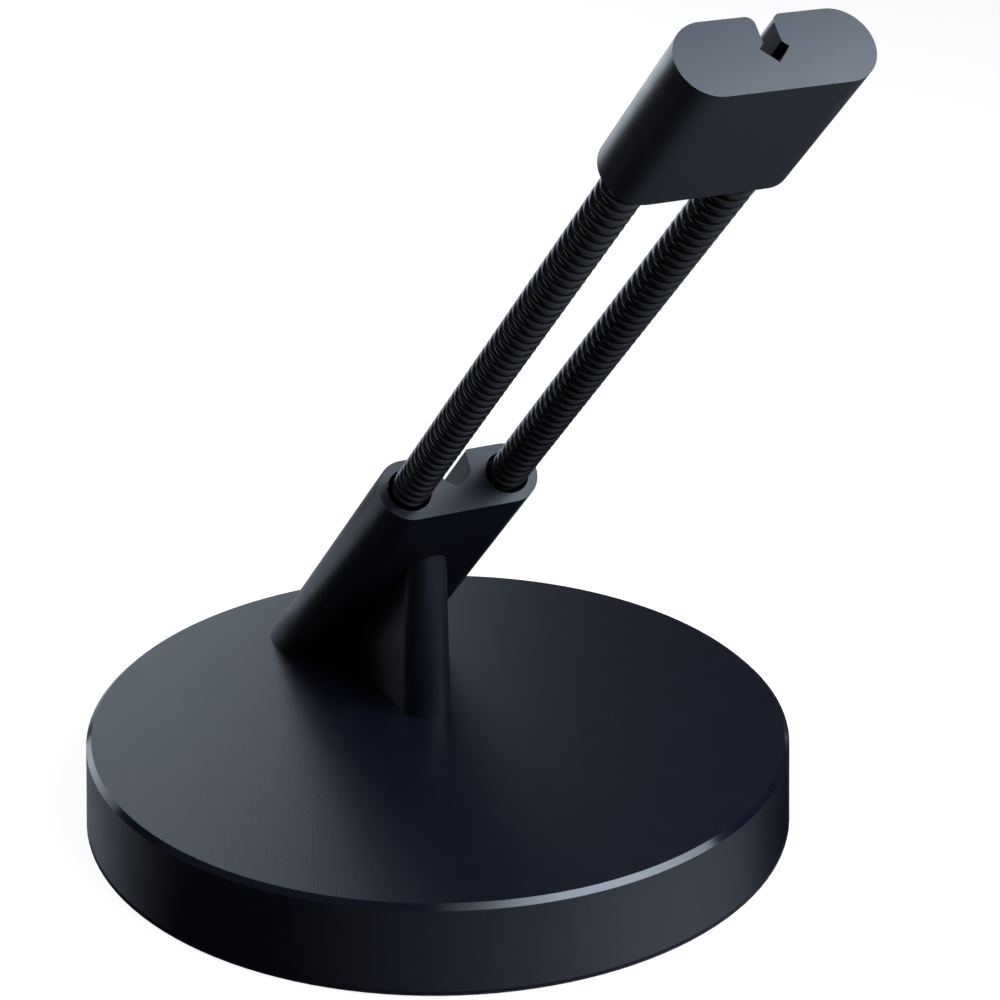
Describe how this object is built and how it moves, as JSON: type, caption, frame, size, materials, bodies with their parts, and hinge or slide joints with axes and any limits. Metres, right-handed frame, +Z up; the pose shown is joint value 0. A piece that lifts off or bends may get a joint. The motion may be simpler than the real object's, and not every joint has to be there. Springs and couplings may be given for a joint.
{
  "type": "mouse bungee",
  "caption": "Weighted round base with a leaning stem and flexible coil springs that hold up a slotted head, to carry a mouse cable clear of the desk.",
  "frame": {"origin": "middle of the foot pad's underside, on the desk", "axes": "+Z up, the arm leans towards -Y, the springs stand side by side along X, mirror plane X = 0"},
  "size_m": [0.1012, 0.1354, 0.1308],
  "materials": {
    "base_plastic": "fine matte texture",
    "arm_plastic": "fine matte",
    "spring_metal": "black satin coating",
    "ballast_steel": "plain mill finish",
    "screw_steel": "zinc plated",
    "pad_rubber": "fine grip texture"
  },
  "bodies": {
    "base": {"base_shell": "base_plastic", "base_cover": "base_plastic", "foot_pad": "pad_rubber", "ballast_plate": "ballast_steel", "cover_screws": "screw_steel", "stem_screws": "screw_steel", "stem": "arm_plastic"},
    "springs": {"left_spring": "spring_metal", "right_spring": "spring_metal"},
    "head": {"cable_head": "arm_plastic"}
  },
  "joints": [
    {"name": "nod", "type": "hinge", "parent": "base", "child": "springs", "pos_m": [0, -0.01676, 0.06276], "axis": [1, 0, 0], "range_deg": [-25, 30], "stiffness_Nm_per_rad": 0.3, "springref_deg": -1.26, "deforming": ["left_spring", "right_spring"]},
    {"name": "sway", "type": "hinge", "parent": "springs", "child": "head", "pos_m": [0, -0.04663, 0.09263], "axis": [0, 0.7071, 0.7071], "range_deg": [-25, 25], "stiffness_Nm_per_rad": 0.3, "deforming": ["left_spring", "right_spring"]}
  ]
}
